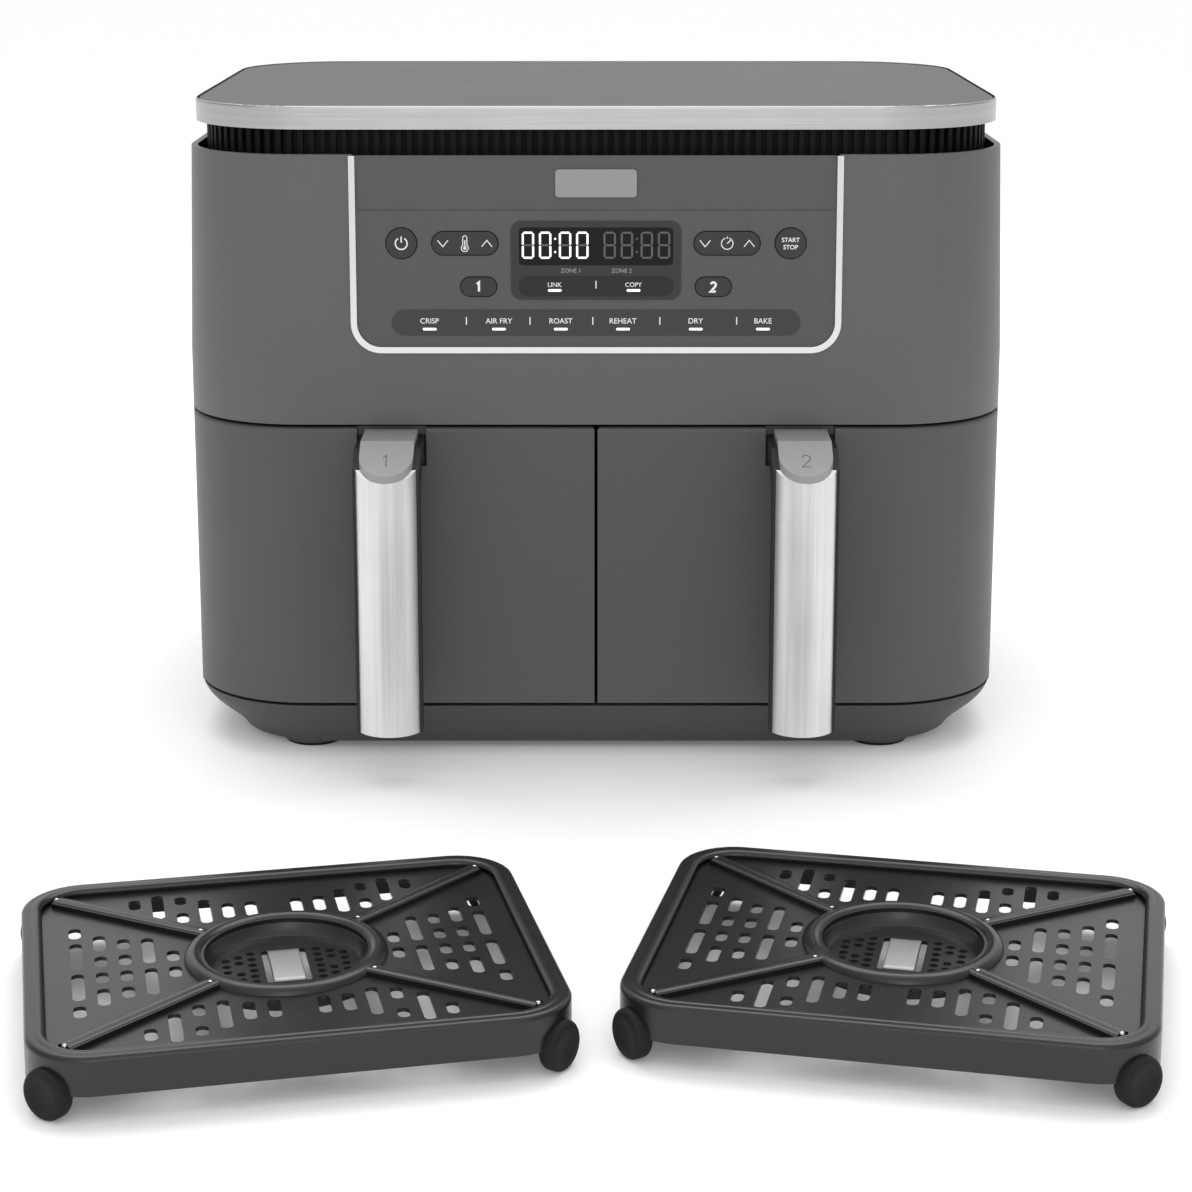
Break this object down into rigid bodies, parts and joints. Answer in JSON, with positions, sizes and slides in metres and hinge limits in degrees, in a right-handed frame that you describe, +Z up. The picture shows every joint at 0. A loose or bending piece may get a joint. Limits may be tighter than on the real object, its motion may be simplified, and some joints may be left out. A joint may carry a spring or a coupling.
{
  "type": "air fryer",
  "caption": "Dual-drawer countertop air fryer: lid over a ribbed vent, leaning panel with keys and display, pull handles, slotted crisper plates in front.",
  "frame": {"origin": "centre of the footprint of the fryer and its two loose plates, at counter level", "axes": "+X to the user's right, +Y to the rear, +Z up"},
  "size_m": [0.46, 0.7002, 0.3148],
  "materials": {
    "shell_grey": "fine satin texture",
    "drawer_grey": "fine satin texture",
    "base_grey": "fine satin texture",
    "lid_grey": "fine satin texture",
    "band_steel": "brushed along the band",
    "handle_steel": "brushed upright",
    "trim_chrome": "bright",
    "cap_grey": "smooth satin",
    "black_plastic": "fine texture",
    "panel_grey": "smooth",
    "key_grey": "smooth",
    "display_black": "gloss",
    "strip_grey": "smooth",
    "rubber": "matt",
    "nonstick": "non-stick coat",
    "aluminised_steel": "rolled",
    "element_metal": "heat-darkened",
    "motor_metal": "zinc coated",
    "board_green": "solder mask",
    "screw_zinc": "zinc coated"
  },
  "bodies": {
    "housing": {"housing_shell": "shell_grey", "base_pan": "base_grey", "foot_pads": "rubber", "rear_vent_cover": "black_plastic", "cord_gland": "black_plastic", "top_deck": "black_plastic", "vent_ring": "black_plastic", "lid_top": "lid_grey", "lid_band": "band_steel", "panel_trim": "trim_chrome", "control_panel": "panel_grey", "header_strip": "panel_grey", "badge": "trim_chrome", "display_bezel": "display_black", "display_lens": "display_black", "touch_bar": "strip_grey", "function_strip": "strip_grey", "display_module": "black_plastic", "control_board": "board_green", "key_switches": "black_plastic", "drawer_runners": "black_plastic", "temperature_probes": "element_metal", "interlock_switches": "black_plastic", "power_board": "board_green", "cavity_liner_1": "aluminised_steel", "cavity_liner_2": "aluminised_steel", "heating_element_1": "element_metal", "heating_element_2": "element_metal", "element_guard_1": "screw_zinc", "element_guard_2": "screw_zinc", "fan_motor_1": "motor_metal", "fan_motor_2": "motor_metal"},
    "drawer_1": {"drawer_front_1": "drawer_grey", "basket_1": "nonstick", "basket_screws_1": "screw_zinc", "handle_core_1": "black_plastic", "handle_cover_1": "handle_steel", "handle_cap_1": "cap_grey"},
    "fan_1": {"fan_rotor_1": "aluminised_steel", "cooling_fan_1": "black_plastic"},
    "plate_1": {"crisper_plate_1": "nonstick", "plate_bumpers_1": "rubber"},
    "drawer_2": {"drawer_front_2": "drawer_grey", "basket_2": "nonstick", "basket_screws_2": "screw_zinc", "handle_core_2": "black_plastic", "handle_cover_2": "handle_steel", "handle_cap_2": "cap_grey"},
    "fan_2": {"fan_rotor_2": "aluminised_steel", "cooling_fan_2": "black_plastic"},
    "plate_2": {"crisper_plate_2": "nonstick", "plate_bumpers_2": "rubber"},
    "power_key_body": {"power_key": "key_grey"},
    "start_stop_key_body": {"start_stop_key": "key_grey"},
    "temperature_key_body": {"temperature_key": "key_grey"},
    "time_key_body": {"time_key": "key_grey"},
    "zone_1_key_body": {"zone_1_key": "key_grey"},
    "zone_2_key_body": {"zone_2_key": "key_grey"}
  },
  "joints": [
    {"name": "drawer_1_slide", "type": "slide", "parent": "housing", "child": "drawer_1", "axis": [0, -1, 0], "range_m": [0, 0.19]},
    {"name": "fan_1_spin", "type": "hinge", "parent": "housing", "child": "fan_1", "pos_m": [-0.0977, 0.18164, 0.2], "axis": [0, 0, 1], "continuous": true},
    {"name": "plate_1_draw", "type": "slide", "parent": "housing", "child": "plate_1", "axis": [0, -1, 0], "range_m": [0, 0.15]},
    {"name": "drawer_2_slide", "type": "slide", "parent": "housing", "child": "drawer_2", "axis": [0, -1, 0], "range_m": [0, 0.19]},
    {"name": "fan_2_spin", "type": "hinge", "parent": "housing", "child": "fan_2", "pos_m": [0.0977, 0.18164, 0.2], "axis": [0, 0, 1], "continuous": true},
    {"name": "plate_2_draw", "type": "slide", "parent": "housing", "child": "plate_2", "axis": [0, -1, 0], "range_m": [0, 0.15]},
    {"name": "power_key_press", "type": "slide", "parent": "housing", "child": "power_key_body", "axis": [0, 0.9995, -0.0303], "range_m": [0, 0.0005], "stiffness_N_per_m": 600},
    {"name": "start_stop_key_press", "type": "slide", "parent": "housing", "child": "start_stop_key_body", "axis": [0, 0.9995, -0.0303], "range_m": [0, 0.0005], "stiffness_N_per_m": 600},
    {"name": "zone_1_key_press", "type": "slide", "parent": "housing", "child": "zone_1_key_body", "axis": [0, 0.9995, -0.0303], "range_m": [0, 0.0005], "stiffness_N_per_m": 600},
    {"name": "zone_2_key_press", "type": "slide", "parent": "housing", "child": "zone_2_key_body", "axis": [0, 0.9995, -0.0303], "range_m": [0, 0.0005], "stiffness_N_per_m": 600},
    {"name": "temperature_key_rock", "type": "hinge", "parent": "housing", "child": "temperature_key_body", "pos_m": [-0.0613, 0.04379, 0.2517], "axis": [0, 0.0303, 0.9995], "range_deg": [-1, 1], "stiffness_Nm_per_rad": 0.5},
    {"name": "time_key_rock", "type": "hinge", "parent": "housing", "child": "time_key_body", "pos_m": [0.0613, 0.04379, 0.2517], "axis": [0, 0.0303, 0.9995], "range_deg": [-1, 1], "stiffness_Nm_per_rad": 0.5}
  ]
}
